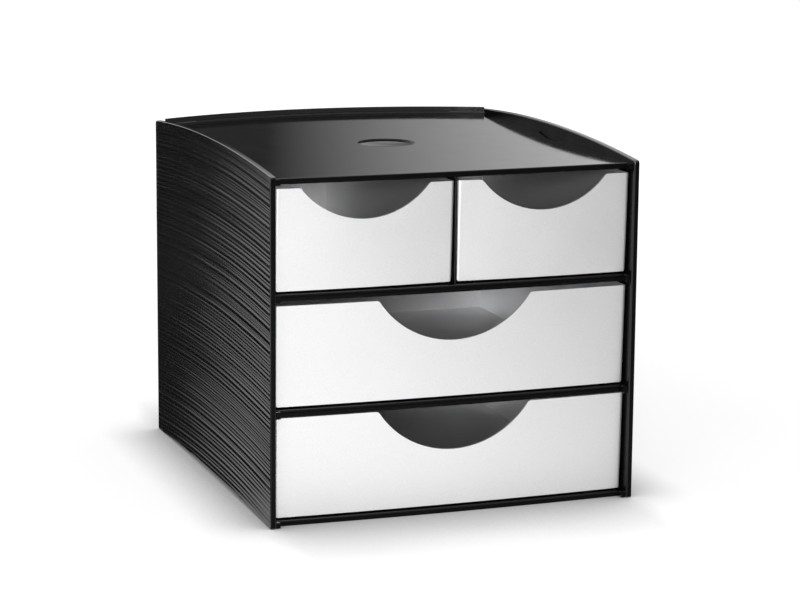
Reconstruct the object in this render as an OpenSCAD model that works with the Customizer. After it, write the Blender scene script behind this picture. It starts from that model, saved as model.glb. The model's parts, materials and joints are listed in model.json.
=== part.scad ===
// Desktop drawer unit: a black case of plugged-together panels and four
// drafted tray drawers. X is right, the front faces -Y, Z is up.
// The origin is on the resting surface, below the centre of the whole unit.

/* [Case] */
// Width over both side panels
case_w = 264; // [200:2:340]
// Length of a side panel from front to back
side_depth = 295; // [230:5:380]
// Thickness of a side panel, ribs included
side_t = 4.2; // [3.6:0.1:6]
// Rise of the side panels' arched upper edge
top_arch = 6.5; // [2:0.5:12]
// Rise of the side panels' arched lower edge
foot_arch = 5.5; // [2:0.5:8]
// Length of the level foot at each end of a side panel
foot_l = 15; // [8:1:30]
// Height of the side panels' corners above the top surface
side_rim = 2.2; // [1:0.2:6]
// Radius of the side panels' upper corners
side_corner_r = 2.5; // [1:0.5:6]

/* [Side ribs] */
// Mean distance between two grooves
rib_pitch = 3.2; // [2.6:0.1:6]
// How far the distances stray from the mean, as a part of it
rib_stray = 0.24; // [0:0.02:0.3]
// Width of a groove
groove_w = 1.1; // [0.6:0.1:1.6]
// Depth of a groove
groove_d = 0.5; // [0.2:0.1:0.8]
// Plain margin between the ribs and the panel's edges
rib_margin = 1.2; // [0.6:0.2:4]

/* [Plates] */
// Thickness of the top
top_t = 3.8; // [3:0.2:6]
// Height of a shelf's front edge
shelf_t = 5; // [4:0.5:8]
// Thickness of the base
base_t = 3.8; // [3:0.2:6]
// Thickness of the back
back_t = 2.5; // [2:0.5:5]
// Thickness of the divider between the small drawers
divider_t = 1.4; // [1.2:0.2:3]
// Distance from the side panels' front edges back to the ends of the plates
front_setback = 6.5; // [4:0.5:15]
// Forward bulge of the plates and the wide drawers' fronts
front_bow = 3; // [1:0.5:8]
// Distance from the side panels' rear ends forward to the ends of the back
back_inset = 12; // [6:1:30]
// Rearward bulge of the back
back_bow = 27; // [10:1:40]
// Height of the rail that the back forms above the top
rail_h = 4.8; // [2:0.2:10]
// Depth of the hollow under a shelf, behind its front edge
shelf_hollow = 2.4; // [1:0.2:2.6]
// Depth of a shelf's solid front edge from front to back
nosing_l = 6; // [4:1:12]
// Radius of the rounded upper front edge of the plates
nosing_r = 1.4; // [0.6:0.2:1.8]
// Width of the fine groove along a shelf's front edge
edge_groove_w = 0.5; // [0.3:0.1:0.8]
// Depth of the fine groove along a shelf's front edge
edge_groove_d = 0.6; // [0.3:0.1:1]
// Width of the ears that a plate reaches forward beside the drawers
ear_w = 3; // [2:0.5:6]
// Distance from the side panels' front edges back to the ears
ear_setback = 1; // [0.5:0.5:3]
// Radius of the bead along the top's rear edge
bead_r = 1.5; // [0.8:0.1:2]
// Diameter of the round dimple in the top
dimple_d = 40; // [20:2:80]
// Depth of the round dimple in the top
dimple_depth = 0.8; // [0.4:0.1:1.6]

/* [Joints between panels] */
// Length of a locating tab
tab_l = 30; // [15:5:50]
// Distance between the front and the rear tabs
tab_spacing = 160; // [100:5:170]
// Thickness of a locating tab
tab_t = 2; // [1.6:0.2:2.6]
// Reach of a tab into its pocket
tab_reach = 1.8; // [1:0.2:2.2]
// Height of a tab of the back
back_tab_h = 24; // [10:2:40]
// Clearance round plugged joints
fit_gap = 0.15; // [0.1:0.05:0.3]
// Depth of the groove that holds the centre divider
divider_sink = 1; // [0.6:0.1:1.6]
// Height of the base's side flanges above the resting surface
flange_h = 9; // [7:0.5:12]
// Thickness of the base's side flanges
flange_t = 1.2; // [0.8:0.1:1.4]
// Length of the thumb recess in each side panel above the top
recess_l = 46; // [20:2:80]
// Height of the thumb recess
recess_h = 3; // [2:0.5:4]
// Depth of the thumb recess
recess_depth = 1; // [0.4:0.2:1.6]

/* [Drawers] */
// Height of every drawer
drawer_h = 69; // [45:1:110]
// Wall of a drawer
drawer_wall = 2; // [1.6:0.2:3]
// Floor of a drawer
drawer_floor = 2; // [1.6:0.2:3]
// Clearance beside a drawer at its upper edge
side_gap = 0.8; // [0.5:0.1:2]
// Clearance between a small drawer and the divider
divider_gap = 0.4; // [0.3:0.1:1.5]
// Inward slope of a drawer's sides from top to bottom
side_draft = 1.1; // [0.4:0.1:3]
// Rearward slope of a drawer's front from top to bottom
front_draft = 2; // [0.5:0.1:4]
// Forward bulge of a small drawer's front
small_bow = 1.6; // [0.4:0.2:4]
// Clearance behind a drawer
rear_gap = 4; // [2:1:20]
// Clearance above the bottom drawer
bottom_head_gap = 0.7; // [0.5:0.1:6]
// Clearance above the middle drawer
middle_head_gap = 3.1; // [0.5:0.1:6]
// Clearance above the small drawers
small_head_gap = 2.9; // [0.5:0.1:6]
// Height of the runner ribs that carry the drawers
runner_h = 1.2; // [0.8:0.1:2]
// Width of a runner rib
runner_w = 3; // [2:0.5:6]
// Distance from a drawer's side to the middle of its runner rib
runner_inset = 12; // [6:1:30]
// Running clearance between a drawer and its runner ribs
slide_gap = 0.3; // [0.2:0.05:0.5]
// Radius of the upright front corners of a drawer
front_corner_r = 2.5; // [1.5:0.5:5]
// Radius of the lower corners of a drawer
lower_corner_r = 1.5; // [1:0.5:5]
// Radius of the upper corners of a drawer
upper_corner_r = 1; // [0.5:0.5:3]

/* [Finger notches] */
// Depth of the notch in a small drawer
small_notch_depth = 22.5; // [12:0.5:30]
// Radius of the notch in a small drawer
small_notch_r = 57; // [40:1:58]
// Depth of the notch in a wide drawer
wide_notch_depth = 30; // [15:0.5:40]
// Radius of the notch in a wide drawer
wide_notch_r = 65; // [45:1:80]
// Radius of the shoulders beside a notch
shoulder_r = 3; // [2:1:10]

/* [Hidden] */
$fn = 64;
arc_fn = 720;
cut = 1;
blend_slip = 0.4;
inner_r_min = 0.5;
case_black = [0.05, 0.05, 0.055];
tray_silver = [0.78, 0.78, 0.8];

// Widths
inner_w = case_w - 2 * side_t;
half_in = inner_w / 2;
wide_w = inner_w - 2 * side_gap;
small_w = half_in - side_gap - divider_t / 2 - divider_gap;
small_x = half_in - side_gap - small_w / 2;

// Heights, from the resting surface up
bottom_z = base_t + runner_h + slide_gap;
lower_shelf_z = bottom_z + drawer_h + bottom_head_gap;
middle_z = lower_shelf_z + shelf_t + runner_h + slide_gap;
upper_shelf_z = middle_z + drawer_h + middle_head_gap;
small_z = upper_shelf_z + shelf_t + runner_h + slide_gap;
top_z = small_z + drawer_h + small_head_gap;
surface_z = top_z + top_t;
corner_z = surface_z + side_rim;

// Front and back, along Y
back_reach = back_bow - back_inset;
front_y = -(side_depth + back_reach) / 2;
side_mid_y = front_y + side_depth / 2;
rear_y = front_y + side_depth;
plate_front_y = front_y + front_setback;
back_end_y = rear_y - back_inset;
front_r = bow_r(inner_w, front_bow);
back_r = bow_r(inner_w, back_bow);
front_arc_y = plate_front_y - front_bow + front_r;
back_arc_y = back_end_y + back_bow - back_r;
drawer_rear_y = back_end_y - back_t - rear_gap;
lean = atan(front_draft / drawer_h);
divider_y = plate_front_y + nosing_l;
divider_l = drawer_rear_y - divider_y;
divider_floor_z = upper_shelf_z + shelf_t;

// Radius of an arc from its chord and its rise
function bow_r(chord, rise) = (chord * chord / 4 + rise * rise) / (2 * rise);

// Half the width of a notch at the middle of its shoulders
function shoulder_x(r, depth) = sqrt(pow(r + shoulder_r, 2) - pow(r - depth + shoulder_r, 2));

// Heights of the grooves: steps of one pitch, strayed by two slow waves
function stray(i) = rib_stray * (0.6 * sin(i * 137) + 0.4 * sin(i * 71 + 40));
function groove_z(i) = i * rib_pitch + rib_pitch * stray(i);

// ---- Side panels ----

// Disc whose upper edge is an arc with the given rise over the given chord
module arch(chord, rise, crown) {
    r = bow_r(chord, rise);
    translate([0, crown - r])
        circle(r, $fn = arc_fn);
}

// Corner left over between a square and the circle inscribed in it
module corner_cut(r) {
    difference() {
        square(r + cut);
        circle(r);
    }
}

// Outline of a side panel, Y to the right and Z up, middle of its length at 0
module side_outline() {
    crown = corner_z + top_arch;
    edge_r = bow_r(side_depth, top_arch);
    corner_y = side_depth / 2 - side_corner_r;
    corner_up = crown - edge_r + sqrt(pow(edge_r - side_corner_r, 2) - corner_y * corner_y);
    difference() {
        intersection() {
            translate([-side_depth / 2, 0])
                square([side_depth, crown]);
            arch(side_depth, top_arch, crown);
        }
        arch(side_depth - 2 * foot_l, foot_arch, foot_arch);
        for (s = [-1, 1])
            mirror([s < 0 ? 1 : 0, 0])
                translate([corner_y, corner_up])
                    corner_cut(side_corner_r);
    }
}

// Arched grooves, all parallel to the panel's upper edge
module groove_lines() {
    crown = corner_z + top_arch;
    count = floor(crown / rib_pitch);
    intersection() {
        translate([-side_depth / 2 + rib_margin, 0])
            square([side_depth - 2 * rib_margin, crown]);
        for (i = [1 : count + 1])
            difference() {
                arch(side_depth, top_arch, crown - groove_z(i) + groove_w);
                arch(side_depth, top_arch, crown - groove_z(i));
            }
    }
}

// Pockets in a side panel for the tabs of the plates and the back
module tab_pockets() {
    for (z = [base_tab_z(), shelf_tab_z(lower_shelf_z), shelf_tab_z(upper_shelf_z), top_tab_z()])
        for (s = [-1, 1])
            translate([-cut, side_mid_y + s * tab_spacing / 2 - tab_l / 2 - fit_gap, z - fit_gap])
                cube([tab_reach + fit_gap + cut, tab_l + 2 * fit_gap, tab_t + 2 * fit_gap]);
    for (z = back_tab_zs())
        translate([-cut, back_end_y - back_t - fit_gap, z - fit_gap])
            cube([tab_reach + fit_gap + cut, back_t + 2 * fit_gap, back_tab_h + 2 * fit_gap]);
}

function base_tab_z() = (base_t - tab_t) / 2;
function shelf_tab_z(z) = z + shelf_hollow + (shelf_t - shelf_hollow - tab_t) / 2;
function top_tab_z() = top_z + (top_t - tab_t) / 2;
function back_tab_zs() = [bottom_z + drawer_h / 2, small_z + drawer_h / 2];

// Right-hand panel. Its inner face is at X = half_in and its ribs point outwards
module side_panel() {
    color(case_black)
        difference() {
            translate([half_in, side_mid_y, 0])
                rotate([90, 0, 90])
                    linear_extrude(side_t)
                        side_outline();
            translate([half_in + side_t - groove_d, side_mid_y, 0])
                rotate([90, 0, 90])
                    linear_extrude(groove_d + cut)
                        groove_lines();
            translate([half_in, 0, 0])
                tab_pockets();
            thumb_recess();
        }
}

// Shallow lens-shaped recess in the inner face, just above the top
module thumb_recess() {
    translate([half_in - cut, side_mid_y, surface_z])
        rotate([90, 0, 90])
            linear_extrude(recess_depth + cut)
                intersection() {
                    arch(recess_l, recess_h, recess_h);
                    translate([-recess_l, 0])
                        square([2 * recess_l, 2 * recess_h]);
                }
}

module left_side_panel() {
    mirror([1, 0, 0])
        side_panel();
}

module right_side_panel() {
    side_panel();
}

// ---- Horizontal plates ----

// Plan of a plate between the side panels: bowed front edge, bowed back edge
module plate_plan(front_trim, side_trim) {
    intersection() {
        translate([-half_in + side_trim, front_y])
            square([inner_w - 2 * side_trim, side_depth + back_reach]);
        translate([0, front_arc_y])
            circle(front_r - front_trim, $fn = arc_fn);
        translate([0, back_arc_y])
            circle(back_r - back_t - fit_gap, $fn = arc_fn);
    }
}

// Four tabs that plug a plate into the side panels
module plate_tabs(z) {
    for (side = [-1, 1])
        for (s = [-1, 1])
            translate([side * (half_in - cut / 2 + tab_reach / 2), side_mid_y + s * tab_spacing / 2, z + tab_t / 2])
                cube([tab_reach + cut, tab_l, tab_t], center = true);
}

// Material in front of the rounded upper front edge of a plate whose top is at z = 0
module edge_rounding() {
    translate([0, front_arc_y, -nosing_r])
        rotate_extrude($fn = arc_fn)
            translate([front_r - nosing_r, 0])
                corner_cut(nosing_r);
}

// Two ears that carry a plate's front edge forward to the side panels' front edges
module front_ears(h) {
    ear_l = front_setback - ear_setback + nosing_l;
    for (side = [-1, 1])
        translate([side * (half_in - fit_gap - ear_w / 2), front_y + ear_setback + ear_l / 2, h / 2])
            cube([ear_w, ear_l, h], center = true);
}

// Pairs of runner ribs for drawers of the given width and middle
module runners(z, w, x) {
    rib_l = drawer_rear_y - plate_front_y - 2 * nosing_l;
    for (s = [-1, 1])
        translate([
            x + s * (w / 2 - runner_inset) - runner_w / 2,
            plate_front_y + nosing_l,
            z - cut
        ])
            cube([runner_w, rib_l, runner_h + cut]);
}

// Shelf with a solid front edge and a hollow underside; its lowest point is at z
module shelf_plate(z) {
    translate([0, 0, z])
        difference() {
            union() {
                linear_extrude(shelf_t)
                    plate_plan(0, fit_gap);
                front_ears(shelf_t);
            }
            translate([0, 0, -cut])
                linear_extrude(shelf_hollow + cut)
                    plate_plan(nosing_l, nosing_l);
            translate([0, 0, shelf_t])
                edge_rounding();
            edge_groove();
        }
    plate_tabs(shelf_tab_z(z));
}

// Fine groove along a shelf's front edge, below the rounding
module edge_groove() {
    translate([0, front_arc_y, shelf_t - nosing_r - 2 * edge_groove_w])
        rotate_extrude($fn = arc_fn)
            translate([front_r - edge_groove_d, 0])
                square([edge_groove_d + cut, edge_groove_w]);
}

// Quarter-round bead that rises from the top's rear edge, in front of the rail
module rear_bead() {
    edge_r = back_r - back_t - fit_gap;
    intersection() {
        translate([0, back_arc_y, surface_z])
            rotate_extrude($fn = arc_fn)
                intersection() {
                    translate([edge_r, 0])
                        circle(bead_r);
                    translate([edge_r - bead_r, -bead_r / 2])
                        square([bead_r, 2 * bead_r]);
                }
        translate([-half_in + 2 * fit_gap, side_mid_y, top_z])
            cube([inner_w - 4 * fit_gap, side_depth, 2 * top_t]);
    }
}

module top_panel() {
    dimple_r = (pow(dimple_d / 2, 2) + pow(dimple_depth, 2)) / (2 * dimple_depth);
    color(case_black) {
        difference() {
            union() {
                translate([0, 0, top_z])
                    linear_extrude(top_t)
                        plate_plan(0, fit_gap);
                translate([0, 0, top_z])
                    front_ears(top_t);
                rear_bead();
            }
            translate([0, 0, surface_z])
                edge_rounding();
            translate([0, side_mid_y, surface_z + dimple_r - dimple_depth])
                sphere(dimple_r, $fn = arc_fn / 2);
        }
        plate_tabs(top_tab_z());
    }
}

module upper_shelf() {
    color(case_black) {
        difference() {
            shelf_plate(upper_shelf_z);
            divider_groove();
        }
        for (s = [-1, 1])
            runners(upper_shelf_z + shelf_t, small_w - 2 * side_draft, s * small_x);
    }
}

module lower_shelf() {
    color(case_black) {
        shelf_plate(lower_shelf_z);
        runners(lower_shelf_z + shelf_t, wide_w - 2 * side_draft, 0);
    }
}

module base_panel() {
    color(case_black) {
        difference() {
            union() {
                linear_extrude(base_t)
                    plate_plan(0, fit_gap);
                front_ears(base_t);
            }
            translate([0, 0, base_t])
                edge_rounding();
        }
        plate_tabs(base_tab_z());
        runners(base_t, wide_w - 2 * side_draft, 0);
        for (side = [-1, 1])
            translate([side * (half_in - fit_gap - flange_t / 2), side_mid_y, flange_h / 2])
                cube([flange_t, side_depth - 2 * back_inset - 2 * nosing_l, flange_h], center = true);
    }
}

// ---- Back and divider ----

// Back, bulging rearwards. Its upper edge stands above the top as a rail
module back_panel() {
    color(case_black) {
        linear_extrude(surface_z + rail_h)
            intersection() {
                difference() {
                    translate([0, back_arc_y])
                        circle(back_r, $fn = arc_fn);
                    translate([0, back_arc_y])
                        circle(back_r - back_t, $fn = arc_fn);
                }
                translate([-half_in + fit_gap, side_mid_y])
                    square([inner_w - 2 * fit_gap, side_depth]);
            }
        for (side = [-1, 1])
            for (z = back_tab_zs())
                translate([side * (half_in - cut / 2 + tab_reach / 2), back_end_y - back_t / 2, z + back_tab_h / 2])
                    cube([tab_reach + cut, back_t, back_tab_h], center = true);
    }
}

// Groove in the upper shelf's face that the divider's lower edge stands in
module divider_groove() {
    translate([-divider_t / 2 - fit_gap, divider_y, divider_floor_z - divider_sink - fit_gap])
        cube([divider_t + 2 * fit_gap, divider_l + fit_gap, divider_sink + fit_gap + cut]);
}

// Upright plate between the two small drawers, set in a groove of the shelf
module centre_divider() {
    nose_l = nosing_l + front_bow - nosing_r;
    color(case_black) {
        translate([-divider_t / 2, divider_y + fit_gap, divider_floor_z - divider_sink])
            cube([divider_t, divider_l - fit_gap, top_z - divider_floor_z + divider_sink - fit_gap]);
        translate([-divider_t / 2, divider_y - nose_l, divider_floor_z + fit_gap])
            cube([divider_t, nose_l + cut, top_z - divider_floor_z - 2 * fit_gap]);
    }
}

// ---- Drawers ----

// Front view of a tray: sides sloped inwards, corners rounded
module tray_face(w, h, inset, bottom, r_low, r_up) {
    hw = w / 2 - inset;
    hb = hw - side_draft * (h - bottom) / h;
    difference() {
        polygon([[-hb, bottom], [hb, bottom], [hw, h], [-hw, h]]);
        for (s = [0, 1])
            mirror([s, 0]) {
                translate([hb - r_low, bottom + r_low])
                    mirror([0, 1])
                        corner_cut(r_low);
                if (r_up > 0)
                    translate([hw - r_up, h - r_up])
                        corner_cut(r_up);
            }
    }
}

// Plan of a tray of width w: bowed front with rounded corners. The tray's middle,
// at x in the case, is level with the plates' front edge
module tray_plan(w, x, bow, inset, r_corner) {
    hw = w / 2 - inset;
    arc_r = bow_r(w, bow) - inset;
    arc_y = plate_edge_y(x) + bow_r(w, bow);
    corner_y = arc_y - sqrt(arc_r * arc_r - hw * hw) + r_corner;
    difference() {
        intersection() {
            translate([-hw, front_y])
                square([2 * hw, drawer_rear_y - inset - front_y]);
            translate([0, arc_y])
                circle(arc_r, $fn = arc_fn);
        }
        translate([hw - r_corner, corner_y])
            mirror([0, 1])
                corner_cut(r_corner);
        translate([-hw + r_corner, corner_y])
            rotate(180)
                corner_cut(r_corner);
    }
}

// Where the plates' bowed front edge lies at a given x
function plate_edge_y(x) = front_arc_y - sqrt(front_r * front_r - x * x);

// Solid of a tray, inset on every side by the given wall
module tray_solid(w, x, bow, h, inset, bottom, r_corner, r_low, r_up) {
    intersection() {
        translate([0, front_y - cut, 0])
            rotate([90, 0, 0])
                mirror([0, 0, 1])
                    linear_extrude(drawer_rear_y - inset - front_y + cut)
                        tray_face(w, h, inset, bottom, r_low, r_up);
        translate([0, plate_front_y, h])
            rotate([lean, 0, 0])
                translate([0, -plate_front_y, -2 * drawer_h])
                    linear_extrude(4 * drawer_h)
                        tray_plan(w, x, bow, inset, r_corner);
    }
}

// Outline that a finger notch cuts out of a tray's front, upper edge at z = h.
// The shoulder circles bite a hair into the notch circle, so that they cross it cleanly
module notch_outline(h, r, depth) {
    centre_z = h - depth + r;
    sx = shoulder_x(r, depth);
    edge_x = sx - blend_slip;
    translate([0, centre_z])
        circle(r, $fn = arc_fn);
    difference() {
        polygon([
            [0, centre_z], [-edge_x, h - shoulder_r], [-edge_x, h + r],
            [edge_x, h + r], [edge_x, h - shoulder_r]
        ]);
        for (s = [-1, 1])
            translate([s * (sx - blend_slip / 20), h - shoulder_r])
                circle(shoulder_r);
    }
}

// Tray of width w whose middle is at x and whose floor is at z
module tray(w, x, z, bow, notch_r, notch_depth) {
    wall_l = drawer_wall + front_draft + bow + 3 * front_corner_r;
    color(tray_silver)
        translate([x, 0, z])
            difference() {
                tray_solid(w, x, bow, drawer_h, 0, 0, front_corner_r, lower_corner_r, upper_corner_r);
                tray_cavity(w, x, bow);
                translate([0, front_y, 0])
                    rotate([90, 0, 0])
                        mirror([0, 0, 1])
                            linear_extrude(front_setback + wall_l)
                                notch_outline(drawer_h, notch_r, notch_depth);
            }
}

// Inside of a tray, open at the top
module tray_cavity(w, x, bow) {
    r_in = max(front_corner_r - drawer_wall, inner_r_min);
    r_low = max(lower_corner_r - drawer_wall / 2, inner_r_min);
    tray_solid(w, x, bow, drawer_h + cut, drawer_wall, drawer_floor, r_in, r_low, 0);
}

module small_tray(x) {
    tray(small_w, x, small_z, small_bow, small_notch_r, small_notch_depth);
}

module wide_tray(z) {
    tray(wide_w, 0, z, front_bow, wide_notch_r, wide_notch_depth);
}

module drawer_small_left() {
    small_tray(-small_x);
}

module drawer_small_right() {
    small_tray(small_x);
}

module drawer_middle() {
    wide_tray(middle_z);
}

module drawer_bottom() {
    wide_tray(bottom_z);
}

left_side_panel();
right_side_panel();
top_panel();
upper_shelf();
lower_shelf();
base_panel();
back_panel();
centre_divider();
drawer_small_left();
drawer_small_right();
drawer_middle();
drawer_bottom();
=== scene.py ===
"""Desktop drawer unit: ribbed side panels, softened edges, finishes, studio and camera.

Everything is in metres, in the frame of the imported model: X right, the front faces -Y, Z up.
"""
import json
import math
import random

import bmesh
import bpy
from mathutils import Matrix, Vector, noise

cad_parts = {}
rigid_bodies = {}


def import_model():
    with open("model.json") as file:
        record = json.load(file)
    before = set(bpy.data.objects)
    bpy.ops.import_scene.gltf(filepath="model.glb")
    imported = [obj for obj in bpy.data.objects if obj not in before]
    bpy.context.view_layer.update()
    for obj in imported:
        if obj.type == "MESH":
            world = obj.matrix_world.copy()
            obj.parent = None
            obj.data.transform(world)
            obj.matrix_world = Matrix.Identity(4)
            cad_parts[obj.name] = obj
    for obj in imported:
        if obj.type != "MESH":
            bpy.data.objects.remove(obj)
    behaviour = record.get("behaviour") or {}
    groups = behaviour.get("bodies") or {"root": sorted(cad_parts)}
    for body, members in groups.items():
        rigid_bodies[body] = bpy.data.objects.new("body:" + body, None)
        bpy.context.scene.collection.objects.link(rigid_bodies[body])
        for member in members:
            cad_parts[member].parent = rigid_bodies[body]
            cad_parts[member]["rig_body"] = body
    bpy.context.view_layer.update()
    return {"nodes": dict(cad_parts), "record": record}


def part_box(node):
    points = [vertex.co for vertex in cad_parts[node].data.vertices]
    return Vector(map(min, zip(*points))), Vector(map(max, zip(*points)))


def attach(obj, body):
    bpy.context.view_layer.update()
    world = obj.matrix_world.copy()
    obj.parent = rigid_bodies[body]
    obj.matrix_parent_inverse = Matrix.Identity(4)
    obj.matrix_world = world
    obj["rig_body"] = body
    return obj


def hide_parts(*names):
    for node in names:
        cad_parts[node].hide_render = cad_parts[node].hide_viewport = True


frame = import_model()
scene = bpy.context.scene
MM = 0.001


def bow_radius(chord, rise):
    """Radius of the arc that rises by rise over chord."""
    return (chord * chord / 4 + rise * rise) / (2 * rise)


# ---- Sizes of the side panels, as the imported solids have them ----

ARCH_RISE = 6.5 * MM
FOOT_RISE = 5.5 * MM
FOOT_L = 15 * MM
CORNER_R = 2.5 * MM
RIB_PITCH = 3.2 * MM
RIB_STRAY = 0.24
RECESS_L = 46 * MM
RECESS_H = 3 * MM
RECESS_DEPTH = 1 * MM

side_low, side_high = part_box("right_side_panel")
panel_depth = side_high.y - side_low.y
panel_mid_y = (side_high.y + side_low.y) / 2
half_depth = panel_depth / 2
crown_z = side_high.z
arch_r = bow_radius(panel_depth, ARCH_RISE)
corner_y = half_depth - CORNER_R
mount_places = {mount["name"]: mount["pos_m"] for mount in frame["record"]["mounts"]}
top_surface_z = mount_places["top_surface"][2]

# ---- Bows of the plates' front edges and of the back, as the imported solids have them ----

SIDE_T = 4.2 * MM
FRONT_SETBACK = 6.5 * MM
FRONT_BOW = 3 * MM
BACK_BOW = 27 * MM
BACK_T = 2.5 * MM
FIT_GAP = 0.15 * MM
NOSING_R = 1.4 * MM
GROOVE_W = 0.5 * MM
GROOVE_D = 0.6 * MM
BEAD_R = 1.5 * MM
PLATE_T = {
    "top_panel": 3.8 * MM,
    "upper_shelf": 5 * MM,
    "lower_shelf": 5 * MM,
    "base_panel": 3.8 * MM,
}

half_in = side_high.x - SIDE_T
front_r = bow_radius(2 * half_in, FRONT_BOW)
front_arc_y = side_low.y + FRONT_SETBACK - FRONT_BOW + front_r
back_r = bow_radius(2 * half_in, BACK_BOW)
back_arc_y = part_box("back_panel")[1].y - back_r
bead_edge_r = back_r - BACK_T - FIT_GAP

# ---- Fine shape of the finished pieces ----

# Vertices nearer to each other than this are one: in the copies, and in the ribbed skin
SAME_PLACE = 0.001 * MM
SAME_SKIN_PLACE = 0.002 * MM
# Neighbouring faces of the copies are joined below this angle, in degrees
FLAT_BELOW = 0.1
# Edges shade smoothly below these angles, in degrees
SMOOTH_BELOW = 32
SMOOTH_RIBS_BELOW = 19

# Clean strips along the plates' front edges and the bead: how far they stand out from the
# solids, their stations and steps, and how far they reach to each side
STRIP_PROUD = 0.02 * MM
STRIP_STATIONS = 96
NOSING_STEPS = 8
EDGE_HALF_SPAN = half_in - 3.2 * MM
BEAD_HALF_SPAN = half_in - 0.3 * MM
# How far they reach into the solids, the part of that where no edge is rounded, the bevel
# below the front edges and how far the bead reaches below the top
STRIP_REACH = 3 * MM
STRIP_COVERS = 2.5 * MM
STRIP_BEVEL = 0.3 * MM
BEAD_SINK = 0.3 * MM

# Rounding of a side panel's long edges, of its front edge beside the drawers,
# of the other case pieces' edges and of the trays' edges
PANEL_EDGE_R = 0.7 * MM
PANEL_LIP_R = 1.4 * MM
CASE_EDGE_R = 0.5 * MM
TRAY_EDGE_R = 0.35 * MM
PANEL_EDGE_STEPS = 5
EDGE_STEPS = 3
# Edges of the copies are rounded from these angles on, in degrees
ROUND_PLATES_FROM = 50
ROUND_OTHERS_FROM = 32

# Ribbed skin: places along a panel and round its corners, and a ridge's height for its width
PANEL_COLUMNS = 44
CORNER_STEPS = 5
RIDGE_SLOPE = 0.17
# One ridge from groove to groove: (part of its width, part of its height below the crest)
RIDGE_PROFILE = [(0.08, 0.74), (0.31, 0.03), (0.42, 0.0), (0.8, 0.24)]
# Depth of a rib's own groove and of the fine grooves in it, in ridge heights
GROOVE_DEPTH = 1.1
FINE_DEPTH = 1.0
# Where the fine grooves split a rib into ridges
RIB_SPLITS = [[], [], [], [], [], [], [0.5], [0.4]]
# The plain margin below the rim, and the fine grooves above the first rib's own
RIM_MARGIN = 0.5 * MM
RIM_GROOVES = (0.9 * MM, 2.2 * MM)
# How the grooves' depths, the splits' places, the crests and the heights vary
GROOVE_SEED = 11
GROOVE_DEPTH_SPREAD = (0.8, 1.1)
SPLIT_SPREAD = (-0.04, 0.04)
RIDGE_SEED = 5
CREST_DROP = (0.0, 0.1 * MM)
RIDGE_HEIGHT_SPREAD = (0.85, 1.15)
# Ribs wander up and down by this much, in full from this far below the rim on, with noise
# of (scale along the panel, scale down it, place in the noise)
WANDER = 0.5 * MM
WANDER_SETTLE = 6 * MM
WANDER_NOISE = (11, 70, 3.0)
# A ridge's depth along it: mean, swing, and noise of (scale along, step per ridge, place)
STRENGTH = 0.92
STRENGTH_SWING = 0.16
STRENGTH_NOISE = (14, 1.7, 8.0)
# At a panel's ends the depth grows from this part on, by the whole over this length
END_STRENGTH = 0.1
END_RISE = 1.5 * MM
RECESS_STEPS = 16

# The round dimple in the top: the solids' radius, with a little slack, and a depth between
# their dimple's bottom and their underside, its own radius, and its profile as (part of its
# own radius, depth below the top)
DIMPLE_CAD_R = 20 * MM
DIMPLE_SLACK = 0.04 * MM
DIMPLE_CAD_BELOW = 1.2 * MM
DIMPLE_R = 21 * MM
DIMPLE_PROFILE = [
    (0.993, 0.03 * MM),
    (0.988, 0.14 * MM),
    (0.985, 0.4 * MM),
    (0.978, 0.95 * MM),
    (0.965, 1.1 * MM),
]
DIMPLE_BOWL = 1.2 * MM
BOWL_RINGS = 14

# Material indexes of a side panel's faces and of a copy's faces. PAINTED_SHADE, FRONT and INLAND
# faces take the duller blacks of painted shade
RIBBED, GLOSS, PAINTED_SHADE = range(3)
PLAIN, FRONT, INLAND = range(3)
# A copy's face is a front face if the Y of its normal is below this. Front faces take the duller
# black of painted shade
FRONT_FACING = {"back_panel": -0.3, "top_panel": -0.15}
OTHER_FRONT_FACING = -0.98
# On the top, those behind this Y are inland faces, in the dimple or on the bead, below that. Inland
# faces take the grey, duller black of painted shade and sheen
INLAND_FROM = side_low.y / 2
INLAND_FACING = -0.6
# A side panel's rim takes the duller black, as painted shade, where the outline's normal has a Y
# below the first and its own face's normal has one of more than the second, and its lip is
# rounder below the third
RIM_SHADE_OUTLINE = -0.7
RIM_SHADE_FACE = 0.9
RIM_LIP_OUTLINE = -0.9

# ---- Studio ----

# Light that the surroundings give to diffuse surfaces
AMBIENT = 0.55
# Mirrored backdrop: white behind on both sides, dark straight behind the object.
# (degrees from straight behind where it starts, where it is full, full strength)
BACKDROP_RIGHT = (16.9, 24.0, 1.0)
BACKDROP_LEFT = (17.0, 23.5, 1.1)
BACKDROP_DARK = 0.04
# and a white strip in the middle, which only the rim of the left side panel mirrors:
# (degrees up to which it is full, where it ends, full strength)
BACKDROP_MIDDLE = (3.5, 7.0, 2.2)
# On the right it is dark next to the floor, and it is white overhead: heights in degrees
HORIZON = (2.5, 7.0)
HORIZON_DARK = 0.15
OVERHEAD = (9.5, 30.0)
OVERHEAD_STRENGTH = 1.66
# It falls off to this strength in front, where the camera stands, between these degrees
FRONT_STRENGTH = 0.25
FRONT_TURN = (60, 120)
# Mirrored floor: in front it is lit from the left and falls off to the right, over X
FLOOR_FRONT = (1.15, 0.3)
FLOOR_FRONT_X = (0.02, 0.42)
# Behind it is dark, and lighter at the sides and far away: strengths, degrees, distances
FLOOR_BEHIND = (0.015, 0.4)
FLOOR_BEHIND_TURN = (19, 32)
FLOOR_BEHIND_REACH = (0.5, 2.0)
# and it is white further round, where the panels' upright edges mirror it: strength,
# degrees, distances, and how far behind the panels' front edges it is full
FLOOR_ASIDE = 2.2
FLOOR_ASIDE_TURN = (36, 52)
FLOOR_ASIDE_REACH = (0.4, 0.6)
FLOOR_ASIDE_RISE = 0.12
# The front turns into the back over this distance on both sides of the front edges
FLOOR_CHANGE = 0.1
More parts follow.
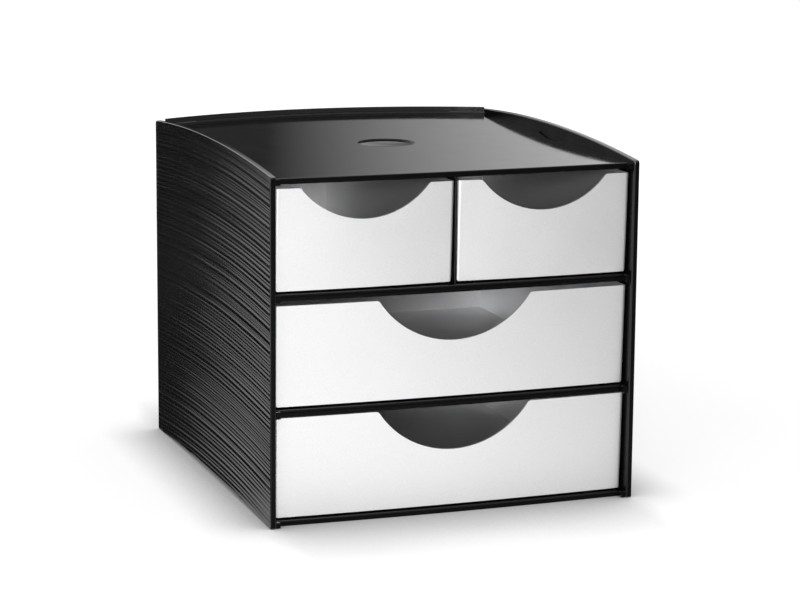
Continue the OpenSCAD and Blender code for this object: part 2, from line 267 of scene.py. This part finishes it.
# Seen floor: a share of paint for the lamps' shadows and a share that glows, both
# darkened near the object. The shadow reaches further in front than at the sides.
FLOOR_PAINT = 0.25
FLOOR_GLOW = (0.72, 0.95)
FLOOR_GLOW_REACH = (0.3, 1.3)
SHADOW_REACH = (0.105, 0.05)
SHADOW_REACH_X = (0.124, 0.14)
SHADOW_DEPTH = 1.3
SHADOW_SAMPLES = 8
# The floor that lights the object from below
FLOOR_COLOUR = (0.75, 0.75, 0.75, 1)
FLOOR_SIZE = 30
FLOOR_DROP = 0.2 * MM
WHITE = (1, 1, 1, 1)
# Lamps: (name, place, what it points at, width and height, watts)
LAMPS = [
    ("key_left", (-1.25, -1.6, 1.4), (0, 0, 0.1), (1.2, 1.2), 18),
    ("fill_front", (-0.74, -2.1, 0.6), (0, 0, 0.12), (0.35, 0.3), 28),
    ("side_left", (-1.5, -0.3, 0.7), (0, 0, 0.12), (0.6, 1.0), 5),
    ("top_soft", (0.1, 0.15, 1.7), (0, 0, 0), (1.3, 1.3), 13),
]
# Camera: place, yaw, pitch and roll in degrees, and sensor width and lens in millimetres
CAMERA_PLACE = (-0.6402, -1.8217, 0.5054)
CAMERA_TURN = (19.76, 11.31, 0.461)
CAMERA_SENSOR = 36.0
CAMERA_LENS = 121.6


# ---- Node helpers ----

def new_material(name):
    material = bpy.data.materials.new(name)
    material.use_nodes = True
    tree = material.node_tree
    return material, tree, tree.nodes["Principled BSDF"]


def set_inputs(tree, node, inputs):
    """Links the inputs that are sockets and sets the others."""
    for key, value in dict(inputs).items():
        if isinstance(value, bpy.types.NodeSocket):
            tree.links.new(value, node.inputs[key])
        else:
            node.inputs[key].default_value = value


def add_node(tree, kind, inputs=(), **settings):
    node = tree.nodes.new(kind)
    for key, value in settings.items():
        setattr(node, key, value)
    set_inputs(tree, node, inputs)
    return node


def math_node(tree, operation, a, b=0.0):
    return add_node(tree, "ShaderNodeMath", {0: a, 1: b}, operation=operation).outputs[0]


def object_coords(tree):
    return add_node(tree, "ShaderNodeTexCoord").outputs["Object"]


def noise_value(tree, vector, scale, detail=3.0, roughness=0.55):
    inputs = {"Vector": vector, "Scale": scale, "Detail": detail, "Roughness": roughness}
    return add_node(tree, "ShaderNodeTexNoise", inputs).outputs["Fac"]


def ranged(tree, value, low, high, start=0.3, end=0.7, **settings):
    """value, stretched from start..end, where most noise lies, to low..high."""
    inputs = {"Value": value, "From Min": start, "From Max": end, "To Min": low, "To Max": high}
    return add_node(tree, "ShaderNodeMapRange", inputs, **settings).outputs[0]


def ranged_turn(tree, angle, low, high, start, end):
    """As ranged, with start and end in degrees."""
    return ranged(tree, angle, low, high, math.radians(start), math.radians(end))


def bump(tree, height, distance, normal=None):
    inputs = {"Height": height, "Distance": distance}
    if normal is not None:
        inputs["Normal"] = normal
    return add_node(tree, "ShaderNodeBump", inputs).outputs[0]


# ---- Materials ----

# Scale of the ribs' grain along the arches, for 1 across them
STREAK_SCALE = 0.03


def black_plastic(name, tone, blue, specular):
    """A new black material, and its tree and shader. blue is the tone's blue part."""
    material, tree, shader = new_material(name)
    set_inputs(tree, shader, {"Base Color": (tone, tone, blue, 1), "Specular IOR Level": specular})
    return material, tree, shader


def gloss_black():
    """Polished black plastic: slow waviness, faint speckle and uneven gloss."""
    material, tree, shader = black_plastic("gloss_black", 0.0025, 0.0027, specular=0.4)
    coords = object_coords(tree)
    cloud = noise_value(tree, coords, scale=38.0, detail=4.0)
    wave = bump(tree, noise_value(tree, coords, scale=14.0, detail=1.0), 0.008 * MM)
    speckle = noise_value(tree, coords, scale=1900.0, detail=2.0)
    set_inputs(tree, shader, {
        "Roughness": ranged(tree, cloud, 0.05, 0.1),
        "Normal": bump(tree, speckle, 0.004 * MM, normal=wave),
    })
    return material


def painted_shade_black(name, tone, specular):
    """Satin black plastic, a duller copy of the black that reflects little: painted shade. It goes
    on faces that point to the front or lie inward, so that they read darker than the gloss would.
    With a lighter tone it gives a flat grey in place of the gloss's sheen, a painted sheen.
    """
    material, tree, shader = black_plastic(name, tone, 1.05 * tone, specular)
    coords = object_coords(tree)
    cloud = noise_value(tree, coords, scale=60.0)
    grain = noise_value(tree, coords, scale=2600.0, detail=2.0)
    set_inputs(tree, shader, {
        "Roughness": ranged(tree, cloud, 0.2, 0.3),
        "Normal": bump(tree, grain, 0.01 * MM),
    })
    return material


def streak_coords(tree):
    """Coordinates for noise that is drawn out along the side panels' arches."""
    parts = add_node(tree, "ShaderNodeSeparateXYZ", {0: object_coords(tree)})
    along = math_node(tree, "SUBTRACT", parts.outputs["Y"], panel_mid_y)
    drop = math_node(tree, "DIVIDE", math_node(tree, "MULTIPLY", along, along), 2 * arch_r)
    arched = math_node(tree, "ADD", parts.outputs["Z"], drop)
    drawn_out = math_node(tree, "MULTIPLY", along, STREAK_SCALE)
    return add_node(tree, "ShaderNodeCombineXYZ", {0: drawn_out, 1: arched}).outputs[0]


def ribbed_black():
    """Moulded black plastic of the ribs: streaks of grain that run along the arches."""
    material, tree, shader = black_plastic("ribbed_black", 0.004, 0.0043, specular=0.5)
    coords = streak_coords(tree)
    broad = noise_value(tree, coords, scale=260.0, detail=2.0)
    streaks = noise_value(tree, coords, scale=1500.0, detail=2.0)
    set_inputs(tree, shader, {
        "Roughness": ranged(tree, broad, 0.07, 0.13),
        "Normal": bump(tree, streaks, 0.014 * MM),
    })
    return material


def satin_silver():
    """Metallic silver plastic: fine flake in colour and gloss, and a faint orange peel."""
    material, tree, shader = new_material("satin_silver")
    coords = object_coords(tree)
    flake = noise_value(tree, coords, scale=1500.0, detail=3.0, roughness=0.7)
    cloud = noise_value(tree, coords, scale=30.0)
    peel = noise_value(tree, coords, scale=1100.0, detail=2.0)
    # Inputs 6 and 7 of a colour mix are its two colours, and output 2 is the mixed one
    tones = {
        "Factor": ranged(tree, flake, 0.0, 1.0),
        6: (0.74, 0.74, 0.75, 1),
        7: (0.83, 0.83, 0.835, 1),
    }
    flake_gloss = ranged(tree, flake, -0.03, 0.03)
    set_inputs(tree, shader, {
        "Base Color": add_node(tree, "ShaderNodeMix", tones, data_type="RGBA").outputs[2],
        "Metallic": 0.75,
        "Roughness": math_node(tree, "ADD", flake_gloss, ranged(tree, cloud, 0.37, 0.42)),
        "Normal": bump(tree, peel, 0.012 * MM),
    })
    return material


# ---- Mesh helpers ----

def quarter_turns(steps, first=0):
    """Evenly spaced angles, from the first step's up to a right angle."""
    return [math.pi / 2 * k / steps for k in range(first, steps + 1)]


def round_pairs(items):
    """Each item with the one after it, round a closed loop."""
    return list(zip(items, items[1:] + items[:1]))


def band(bm, ring, made):
    """Faces between two closed rings of vertices."""
    pairs = zip(round_pairs(ring), round_pairs(made))
    return [bm.faces.new((a, b, d, c)) for (a, b), (c, d) in pairs]


def finish_mesh(bm, name, smooth_below, flat_borders=()):
    """Turns a bmesh into an object that shades smoothly below an angle in degrees.

    The edges in flat_borders stay sharp.
    """
    limit = math.radians(smooth_below)
    for edge in bm.edges:
        edge.smooth = edge.calc_face_angle(math.pi) < limit
    for edge in flat_borders:
        edge.smooth = False
    for face in bm.faces:
        face.smooth = True
    mesh = bpy.data.meshes.new(name)
    bm.to_mesh(mesh)
    bm.free()
    for attribute in [a for a in mesh.attributes if a.name == "custom_normal"]:
        mesh.attributes.remove(attribute)
    piece = bpy.data.objects.new(name, mesh)
    scene.collection.objects.link(piece)
    return piece


# ---- Side panels ----

def panel_top(y, inset):
    """Height of a panel's upper outline, moved inwards by inset, at y from its middle."""
    corner_z = crown_z - arch_r + math.sqrt((arch_r - CORNER_R) ** 2 - corner_y ** 2)
    past = abs(y) - corner_y
    if past > 0:
        return corner_z + math.sqrt(max((CORNER_R - inset) ** 2 - past ** 2, 0.0))
    return crown_z - arch_r + math.sqrt((arch_r - inset) ** 2 - y * y)


def panel_bottom(y, inset):
    """Height of a panel's lower outline: an arch between two level feet."""
    chord = panel_depth - 2 * FOOT_L
    if abs(y) >= chord / 2:
        return inset
    foot_r = bow_radius(chord, FOOT_RISE)
    return FOOT_RISE - foot_r + math.sqrt(foot_r ** 2 - y * y) + inset


def panel_columns(inset):
    """Places along a panel, closer together round its upper corners."""
    radius = CORNER_R - inset
    ends = [corner_y + radius * math.sin(angle) for angle in quarter_turns(CORNER_STEPS, 1)]
    middle = [corner_y * (2 * k / PANEL_COLUMNS - 1) for k in range(PANEL_COLUMNS + 1)]
    return [-y for y in reversed(ends)] + middle + ends


def groove_place(i):
    """Distance of a groove below the upper outline, as the solids have it."""
    wave = 0.6 * math.sin(math.radians(i * 137)) + 0.4 * math.sin(math.radians(i * 71 + 40))
    return RIB_PITCH * (i + RIB_STRAY * wave)


def grooves():
    """(distance below the upper outline, depth in ridge heights) of all the grooves."""
    draw = random.Random(GROOVE_SEED)
    places = [(start, FINE_DEPTH) for start in RIM_GROOVES]
    for i in range(1, int(crown_z / RIB_PITCH) + 3):
        start, end = groove_place(i), groove_place(i + 1)
        places.append((start, GROOVE_DEPTH * draw.uniform(*GROOVE_DEPTH_SPREAD)))
        for share in draw.choice(RIB_SPLITS):
            split = start + (share + draw.uniform(*SPLIT_SPREAD)) * (end - start)
            places.append((split, FINE_DEPTH))
    return places


def skin_rows():
    """(distance below the upper outline, depth, ridge number) of each row of the skin."""
    draw = random.Random(RIDGE_SEED)
    rows = [(0.0, 0.0, 0), (RIM_MARGIN, 0.0, 0)]
    places = grooves()
    for ridge, ((start, valley), (end, _)) in enumerate(zip(places, places[1:])):
        crest = draw.uniform(*CREST_DROP)
        height = RIDGE_SLOPE * (end - start) * draw.uniform(*RIDGE_HEIGHT_SPREAD)
        for part, share in [(0.0, valley)] + RIDGE_PROFILE:
            rows.append((start + part * (end - start), crest + height * share, ridge))
    return rows


def drift(along, across, along_scale, across_scale, place):
    """Smooth noise round 0 for a place on the skin."""
    return noise.noise(Vector((along * along_scale, across * across_scale, place)))


def skin_point(y, below, deep, ridge, inset):
    """(y, z, depth) of a point of the ribbed skin. Ribs wander and change in strength."""
    settle = min(1.0, below / WANDER_SETTLE)
    wander = WANDER * settle * drift(y, below, *WANDER_NOISE)
    strength = STRENGTH + STRENGTH_SWING * drift(y, ridge, *STRENGTH_NOISE)
    edge = min(1.0, END_STRENGTH + (half_depth - abs(y) - inset) / END_RISE)
    z = panel_top(y, inset) - below - wander
    bottom = panel_bottom(y, inset)
    if z <= bottom:
        return y, bottom, 0.0
    return y, z, deep * strength * edge


def outward_normals(loop):
    """Unit normals in the Y-Z plane at the points of a closed counter-clockwise loop."""
    normals = []
    for before, after in zip(loop[-1:] + loop[:-1], loop[1:] + loop[:1]):
        normals.append(Vector((after[1] - before[1], before[0] - after[0])).normalized())
    return normals


def lens_outline():
    """Points of the thumb recess above the top: a level chord under an arc."""
    radius = bow_radius(RECESS_L, RECESS_H)
    points = []
    for k in range(RECESS_STEPS + 1):
        y = RECESS_L * (0.5 - k / RECESS_STEPS)
        points.append((y, top_surface_z + RECESS_H - radius + math.sqrt(radius ** 2 - y * y)))
    return points


def boundary_ring(bm):
    """Vertices of an open mesh's edge in order, counter-clockwise seen along -X."""
    first = next(e for e in bm.edges if e.is_boundary)
    ring = list(first.verts)
    used = {first}
    while ring[-1] is not ring[0]:
        step = next(e for e in ring[-1].link_edges if e.is_boundary and e not in used)
        used.add(step)
        ring.append(step.other_vert(ring[-1]))
    ring.pop()
    area = sum(a.co.y * b.co.z - b.co.y * a.co.z for a, b in round_pairs(ring))
    return ring if area > 0 else ring[::-1]


def next_ring(bm, ring, outline, outs, depths, vertex):
    """Faces from ring to a new ring, whose points lie out from the outline, at the depths."""
    normals = outward_normals(outline)
    made = [vertex(y + n.x * out, z + n.y * out, x)
            for (y, z), n, out, x in zip(outline, normals, outs, depths)]
    for face, n in zip(band(bm, ring, made), normals):
        face.normal_update()
        # Rim faces that face the front take the duller black: painted shade
        in_front = n.x < RIM_SHADE_OUTLINE and abs(face.normal.y) > RIM_SHADE_FACE
        face.material_index = PAINTED_SHADE if in_front else GLOSS
    return made


def ribbed_panel(name, side):
    """One side panel as a closed mesh: ribbed skin, rounded rim, plain inner face."""
    inner_x = side_low.x
    outer_x = side_high.x
    bm = bmesh.new()

    def vertex(y, z, x):
        return bm.verts.new((side * x, y + panel_mid_y, z))

    rows = skin_rows()
    grid = []
    for y in panel_columns(PANEL_EDGE_R):
        points = [skin_point(y, *row, PANEL_EDGE_R) for row in rows]
        points.append((y, panel_bottom(y, PANEL_EDGE_R), 0.0))
        grid.append([vertex(py, pz, outer_x - depth) for py, pz, depth in points])
    for left, right in zip(grid, grid[1:]):
        for k in range(len(left) - 1):
            face = bm.faces.new((left[k], left[k + 1], right[k + 1], right[k]))
            face.material_index = RIBBED
    bmesh.ops.remove_doubles(bm, verts=bm.verts, dist=SAME_SKIN_PLACE)
    bmesh.ops.dissolve_degenerate(bm, edges=bm.edges, dist=SAME_SKIN_PLACE)

    # The rim: out from the skin to the panel's outline, then in to the inner face
    ring = boundary_ring(bm)
    outline = [(v.co.y - panel_mid_y, v.co.z) for v in ring]
    for angle in quarter_turns(PANEL_EDGE_STEPS, 1):
        outs = [PANEL_EDGE_R * math.sin(angle)] * len(ring)
        depths = [outer_x - PANEL_EDGE_R * (1 - math.cos(angle))] * len(ring)
        ring = next_ring(bm, ring, outline, outs, depths, vertex)
    lips = [PANEL_LIP_R if n.x < RIM_LIP_OUTLINE else PANEL_EDGE_R
            for n in outward_normals(outline)]
    for angle in quarter_turns(PANEL_EDGE_STEPS):
        outs = [PANEL_EDGE_R - r * (1 - math.cos(angle)) for r in lips]
        depths = [inner_x + r * (1 - math.sin(angle)) for r in lips]
        ring = next_ring(bm, ring, outline, outs, depths, vertex)

    # The inner face round the thumb recess, and the recess. The inner face and the recess floor
    # take the duller black as painted shade
    recess = [vertex(y, z, inner_x) for y, z in lens_outline()]
    floor = [vertex(y, z, inner_x + RECESS_DEPTH) for y, z in lens_outline()]
    rim_edges = [bm.edges.new(pair) for pair in round_pairs(recess)]
    outer_edges = [bm.edges.get(pair) for pair in round_pairs(ring)]
    inner = bmesh.ops.triangle_fill(bm, edges=rim_edges + outer_edges, use_beauty=True)
    for face in (f for f in inner["geom"] if isinstance(f, bmesh.types.BMFace)):
        face.material_index = PAINTED_SHADE
    for face in band(bm, recess, floor):
        face.material_index = GLOSS
    bm.faces.new(floor).material_index = PAINTED_SHADE
    bmesh.ops.recalc_face_normals(bm, faces=bm.faces)
    return finish_mesh(bm, name, SMOOTH_RIBS_BELOW, flat_borders=outer_edges)


# ---- Pieces copied from the solids, with softened edges ----

def carve_dimple(bm):
    """Gives the top's dimple a crisp rim, a short wall and a hollow bottom."""
    def in_dimple(vert):
        near = math.hypot(vert.co.x, vert.co.y - panel_mid_y) < DIMPLE_CAD_R + DIMPLE_SLACK
        return near and vert.co.z > top_surface_z - DIMPLE_CAD_BELOW

    def turn(vert):
        return math.atan2(vert.co.y - panel_mid_y, vert.co.x)

    def place(r, angle, depth):
        return r * math.cos(angle), panel_mid_y + r * math.sin(angle), top_surface_z - depth

    inside = [f for f in bm.faces if all(in_dimple(v) for v in f.verts)]
    bmesh.ops.delete(bm, geom=inside, context="FACES")
    ring = sorted((v for v in bm.verts if v.is_boundary), key=turn)
    angles = [turn(v) for v in ring]
    for vert, angle in zip(ring, angles):
        vert.co = place(DIMPLE_R, angle, 0)
    edge, wall = DIMPLE_PROFILE[-1]
    inwards = [1 - k / BOWL_RINGS for k in range(1, BOWL_RINGS)]
    bowl = [(edge * part, wall + DIMPLE_BOWL * (1 - part ** 2)) for part in inwards]
    for part, depth in DIMPLE_PROFILE + bowl:
        made = [bm.verts.new(place(DIMPLE_R * part, angle, depth)) for angle in angles]
        band(bm, ring, made)
        ring = made
    bm.faces.new(ring)
    bmesh.ops.recalc_face_normals(bm, faces=bm.faces)


def swept_strip(bm, centre_y, outwards, half_span, profile):
    """Closed strip round an upright axis at (0, centre_y). profile has (radius, height) points."""
    turn = math.asin(half_span / profile[0][0])
    rings = []
    for k in range(STRIP_STATIONS + 1):
        angle = turn * (2 * k / STRIP_STATIONS - 1)
        rings.append([
            bm.verts.new((r * math.sin(angle), centre_y + outwards * r * math.cos(angle), z))
            for r, z in profile])
    made = []
    for left, right in zip(rings, rings[1:]):
        made += band(bm, left, right)
    made += [bm.faces.new(end) for end in (rings[0], rings[-1])]
    bmesh.ops.recalc_face_normals(bm, faces=made)


def front_edge(bm, node):
    """Clean front edge of a plate: rounded above, with a fine groove on the shelves."""
    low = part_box(node)[0].z
    top = low + PLATE_T[node]
    r = front_r + STRIP_PROUD
    rounding = NOSING_R + STRIP_PROUD
    profile = [(r - STRIP_REACH, low), (r - STRIP_REACH, top + STRIP_PROUD)]
    for angle in reversed(quarter_turns(NOSING_STEPS)):
        out, up = rounding * math.cos(angle), rounding * math.sin(angle)
        profile.append((front_r - NOSING_R + out, top - NOSING_R + up))
    if node.endswith("shelf"):
        above = top - NOSING_R - GROOVE_W
        below = above - GROOVE_W
        profile += [(r, above), (r - GROOVE_D, above), (r - GROOVE_D, below), (r, below)]
    profile += [(r, low + STRIP_BEVEL), (r - STRIP_BEVEL, low)]
    swept_strip(bm, front_arc_y, -1, EDGE_HALF_SPAN, profile)


def rear_bead(bm):
    """Clean quarter-round bead between the top and the rail."""
    radius = BEAD_R + STRIP_PROUD
    sunk = top_surface_z - BEAD_SINK
    profile = [(bead_edge_r, sunk), (bead_edge_r - radius, sunk)]
    for angle in quarter_turns(NOSING_STEPS):
        out, up = radius * math.cos(angle), radius * math.sin(angle)
        profile.append((bead_edge_r - out, top_surface_z + up))
    swept_strip(bm, back_arc_y, 1, BEAD_HALF_SPAN, profile)


def under_strip(edge):
    """Whether an edge lies in the part of a plate that its front strip covers."""
    inner = front_r - STRIP_COVERS
    return all(
        math.hypot(v.co.x, v.co.y - front_arc_y) > inner and abs(v.co.x) < EDGE_HALF_SPAN
        for v in edge.verts)


def copied_mesh(node):
    """A CAD node's mesh with its flat faces whole."""
    bm = bmesh.new()
    bm.from_mesh(frame["nodes"][node].data)
    bmesh.ops.remove_doubles(bm, verts=bm.verts, dist=SAME_PLACE)
    flat = math.radians(FLAT_BELOW)
    bmesh.ops.dissolve_limit(
        bm, angle_limit=flat, verts=bm.verts, edges=bm.edges, delimit={"NORMAL"})
    return bm


def mark_round_edges(bm, is_plate):
    """Bevel weights for the edges that are to be rounded."""
    weights = bm.edges.layers.float.new("bevel_weight_edge")
    sharp = math.radians(ROUND_PLATES_FROM if is_plate else ROUND_OTHERS_FROM)
    for edge in bm.edges:
        if edge.calc_face_angle(0.0) > sharp and not (is_plate and under_strip(edge)):
            edge[weights] = 1.0


def mark_front_faces(bm, node):
    """Material indexes of the faces at the front, and in the top's dimple and on its bead, which
    take the duller blacks of painted shade.
    """
    facing = FRONT_FACING.get(node, OTHER_FRONT_FACING)
    for face in bm.faces:
        if node == "top_panel" and face.calc_center_median().y > INLAND_FROM:
            if face.normal.y < INLAND_FACING:
                face.material_index = INLAND
        elif face.normal.y < facing:
            face.material_index = FRONT


def softened_copy(node, name, edge_r, *materials):
    """A copy of a CAD node's mesh whose sharp edges are rounded.

    materials: of all surfaces, or of the plain ones, the front ones and the inland ones. The front
    and inland ones are the duller blacks of painted shade.
    """
    bm = copied_mesh(node)
    if node == "top_panel":
        carve_dimple(bm)
    mark_round_edges(bm, node in PLATE_T)
    if node in PLATE_T:
        front_edge(bm, node)
    if node == "top_panel":
        rear_bead(bm)
    bm.normal_update()
    if len(materials) > 1:
        mark_front_faces(bm, node)
    piece = finish_mesh(bm, name, SMOOTH_BELOW)
    for material in materials:
        piece.data.materials.append(material)
    rounding = piece.modifiers.new("rounded_edges", "BEVEL")
    rounding.limit_method = "WEIGHT"
    rounding.width = edge_r
    rounding.segments = EDGE_STEPS
    rounding.material = PLAIN
    shading = piece.modifiers.new("even_shading", "WEIGHTED_NORMAL")
    shading.mode = "FACE_AREA"
    shading.keep_sharp = True
    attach(piece, frame["nodes"][node]["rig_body"])
    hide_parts(node)


# ---- Studio ----

def area_light(name, place, target, size, power):
    data = bpy.data.lights.new(name, "AREA")
    data.shape = "RECTANGLE"
    data.size, data.size_y = size
    data.energy = power
    lamp = bpy.data.objects.new(name, data)
    lamp.location = place
    aim = Vector(target) - Vector(place)
    lamp.rotation_mode = "QUATERNION"
    lamp.rotation_quaternion = aim.to_track_quat("-Z", "Y")
    scene.collection.objects.link(lamp)


def glowing(tree, kind, strength):
    """Output of a white shader of the kind, which is Emission or Background."""
    return add_node(tree, "ShaderNode" + kind, {"Color": WHITE, "Strength": strength}).outputs[0]


def diffuse(tree, color):
    return add_node(tree, "ShaderNodeBsdfDiffuse", {"Color": color}).outputs[0]


def mixed(tree, factor, first, second):
    return add_node(tree, "ShaderNodeMixShader", {0: factor, 1: first, 2: second}).outputs[0]


def by_ray(tree, kind, seen, mirrored, lighting):
    """Links the output of the kind: seen by the camera, mirrored in gloss, or lighting the rest."""
    path = add_node(tree, "ShaderNodeLightPath").outputs
    directly = math_node(tree, "MAXIMUM", path["Is Camera Ray"], path["Is Transmission Ray"])
    unseen = mixed(tree, path["Is Glossy Ray"], lighting, mirrored)
    surface = mixed(tree, directly, unseen, seen)
    add_node(tree, "ShaderNodeOutput" + kind, {"Surface": surface})


def distance_from_middle(tree, place):
    return add_node(tree, "ShaderNodeVectorMath", {0: place}, operation="LENGTH").outputs["Value"]


def mirrored_floor(tree, distance, parts):
    """Strength of the floor in reflections, by the place on it."""
    front = ranged(tree, parts["X"], *FLOOR_FRONT, *FLOOR_FRONT_X)
    azimuth = math_node(tree, "ABSOLUTE", math_node(tree, "ARCTAN2", parts["X"], parts["Y"]))
    aside = ranged_turn(tree, azimuth, 0.0, 1.0, *FLOOR_BEHIND_TURN)
    far = ranged(tree, distance, 0.0, 1.0, *FLOOR_BEHIND_REACH)
    nearby = ranged(tree, math_node(tree, "MULTIPLY", aside, far), *FLOOR_BEHIND, 0.0, 1.0)
    wide = ranged_turn(tree, azimuth, 0.0, FLOOR_ASIDE, *FLOOR_ASIDE_TURN)
    clear = ranged(tree, distance, 0.0, 1.0, *FLOOR_ASIDE_REACH)
    beside = ranged(tree, parts["Y"], 0.0, 1.0, side_low.y, side_low.y + FLOOR_ASIDE_RISE)
    wide = math_node(tree, "MULTIPLY", wide, math_node(tree, "MULTIPLY", clear, beside))
    behind = math_node(tree, "MAXIMUM", nearby, wide)
    change_y = (side_low.y - FLOOR_CHANGE, side_low.y + FLOOR_CHANGE)
    is_behind = ranged(tree, parts["Y"], 0.0, 1.0, *change_y)
    added = math_node(tree, "MULTIPLY", is_behind, math_node(tree, "SUBTRACT", behind, front))
    return math_node(tree, "ADD", front, added)


def white_floor():
    """Pale floor. Camera rays see white less the object's shadow."""
    bpy.ops.mesh.primitive_plane_add(size=FLOOR_SIZE, location=(0, 0, -FLOOR_DROP))
    floor = bpy.context.object
    floor.name = "floor"
    material, tree, _ = new_material("floor_white")
    tree.nodes.clear()
    place = object_coords(tree)
    parts = add_node(tree, "ShaderNodeSeparateXYZ", {0: place}).outputs
    distance = distance_from_middle(tree, place)

    sideways = math_node(tree, "ABSOLUTE", parts["X"])
    reach = {"Distance": ranged(tree, sideways, *SHADOW_REACH, *SHADOW_REACH_X)}
    open_sky = add_node(tree, "ShaderNodeAmbientOcclusion", reach, samples=SHADOW_SAMPLES)
    shade = math_node(tree, "POWER", open_sky.outputs["AO"], SHADOW_DEPTH)
    paint = diffuse(tree, math_node(tree, "MULTIPLY", shade, FLOOR_PAINT))
    far = ranged(tree, distance, *FLOOR_GLOW, *FLOOR_GLOW_REACH)
    glow = glowing(tree, "Emission", math_node(tree, "MULTIPLY", shade, far))
    seen = add_node(tree, "ShaderNodeAddShader", {0: paint, 1: glow}).outputs[0]

    mirrored = glowing(tree, "Emission", mirrored_floor(tree, distance, parts))
    by_ray(tree, "Material", seen, mirrored, diffuse(tree, FLOOR_COLOUR))
    floor.data.materials.append(material)


def mirrored_backdrop(tree, direction):
    """Strength of the surroundings in reflections: white behind on the right and on the left."""
    parts = add_node(tree, "ShaderNodeSeparateXYZ", {0: direction}).outputs
    azimuth = math_node(tree, "ARCTAN2", parts["X"], parts["Y"])
    turned = math_node(tree, "ABSOLUTE", azimuth)
    start, full, strength = BACKDROP_RIGHT
    right = ranged_turn(tree, azimuth, BACKDROP_DARK, strength, start, full)
    start, full, strength = BACKDROP_LEFT
    left = ranged_turn(tree, azimuth, BACKDROP_DARK, strength, -start, -full)
    full, end, strength = BACKDROP_MIDDLE
    middle = ranged_turn(tree, turned, strength, 0.0, full, end)
    low, risen = (math.sin(math.radians(a)) for a in HORIZON)
    horizon = ranged(
        tree, parts["Z"], HORIZON_DARK, 1.0, low, risen, interpolation_type="SMOOTHSTEP")
    low, risen = (math.sin(math.radians(a)) for a in OVERHEAD)
    overhead = ranged(tree, parts["Z"], 0.0, OVERHEAD_STRENGTH, low, risen)
    strongest = math_node(tree, "MULTIPLY", right, horizon)
    for other in (left, middle, overhead):
        strongest = math_node(tree, "MAXIMUM", strongest, other)
    fall = ranged_turn(tree, turned, 1.0, FRONT_STRENGTH, *FRONT_TURN)
    return math_node(tree, "MULTIPLY", strongest, fall)


def studio_world():
    """White backdrop, even light on diffuse surfaces and a shaped mirror image."""
    world = bpy.data.worlds.new("studio")
    scene.world = world
    world.use_nodes = True
    tree = world.node_tree
    tree.nodes.clear()
    direction = add_node(tree, "ShaderNodeTexCoord").outputs["Generated"]
    seen = glowing(tree, "Background", 1.0)
    mirrored = glowing(tree, "Background", mirrored_backdrop(tree, direction))
    by_ray(tree, "World", seen, mirrored, glowing(tree, "Background", AMBIENT))


def photo_camera():
    """Camera at the fitted viewing angle: long lens, a little above the top, left of the front."""
    yaw, pitch, roll = (math.radians(a) for a in CAMERA_TURN)
    level_forward = Vector((math.sin(yaw), math.cos(yaw), 0))
    forward = level_forward * math.cos(pitch) - Vector((0, 0, math.sin(pitch)))
    level = Vector((math.cos(yaw), -math.sin(yaw), 0))
    upright = level.cross(forward)
    right = level * math.cos(roll) + upright * math.sin(roll)
    up = upright * math.cos(roll) - level * math.sin(roll)
    data = bpy.data.cameras.new("camera")
    data.sensor_width = CAMERA_SENSOR
    data.lens = CAMERA_LENS
    camera = bpy.data.objects.new("camera", data)
    turn = Matrix((right, up, -forward)).transposed()
    camera.matrix_world = Matrix.Translation(CAMERA_PLACE) @ turn.to_4x4()
    scene.collection.objects.link(camera)
    scene.camera = camera


# ---- Assembly ----

black = gloss_black()
# Duller black copies: painted shade on faces that point to the front or lie inward, and on the rail
# a flat grey as painted sheen with the lamps' glare left out
front_shade_black = painted_shade_black("painted_shade_black", 0.002, specular=0.07)
rail_shade_and_sheen_black = painted_shade_black("painted_shade_and_sheen_black_rail", 0.018, specular=0.015)
ribbed = ribbed_black()
silver = satin_silver()

for name, side in (("left_side_panel", -1), ("right_side_panel", 1)):
    panel = ribbed_panel(name + "_ribbed", side)
    # In the order of the indexes RIBBED, GLOSS and PAINTED_SHADE, the last being the duller black
    # of painted shade
    for material in (ribbed, black, front_shade_black):
        panel.data.materials.append(material)
    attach(panel, "case")
    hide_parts(name)

# The plates, the back and the divider: their front and inland faces take the duller blacks of
# painted shade
for node in (*PLATE_T, "back_panel", "centre_divider"):
    front_painted_shade = rail_shade_and_sheen_black if node == "back_panel" else front_shade_black
    softened_copy(node, node + "_finished", CASE_EDGE_R, black, front_painted_shade, rail_shade_and_sheen_black)

for node in ("drawer_small_left", "drawer_small_right", "drawer_middle", "drawer_bottom"):
    softened_copy(node, node + "_finished", TRAY_EDGE_R, silver)

scene.view_settings.view_transform = "Standard"
studio_world()
white_floor()
for lamp in LAMPS:
    area_light(*lamp)
photo_camera()
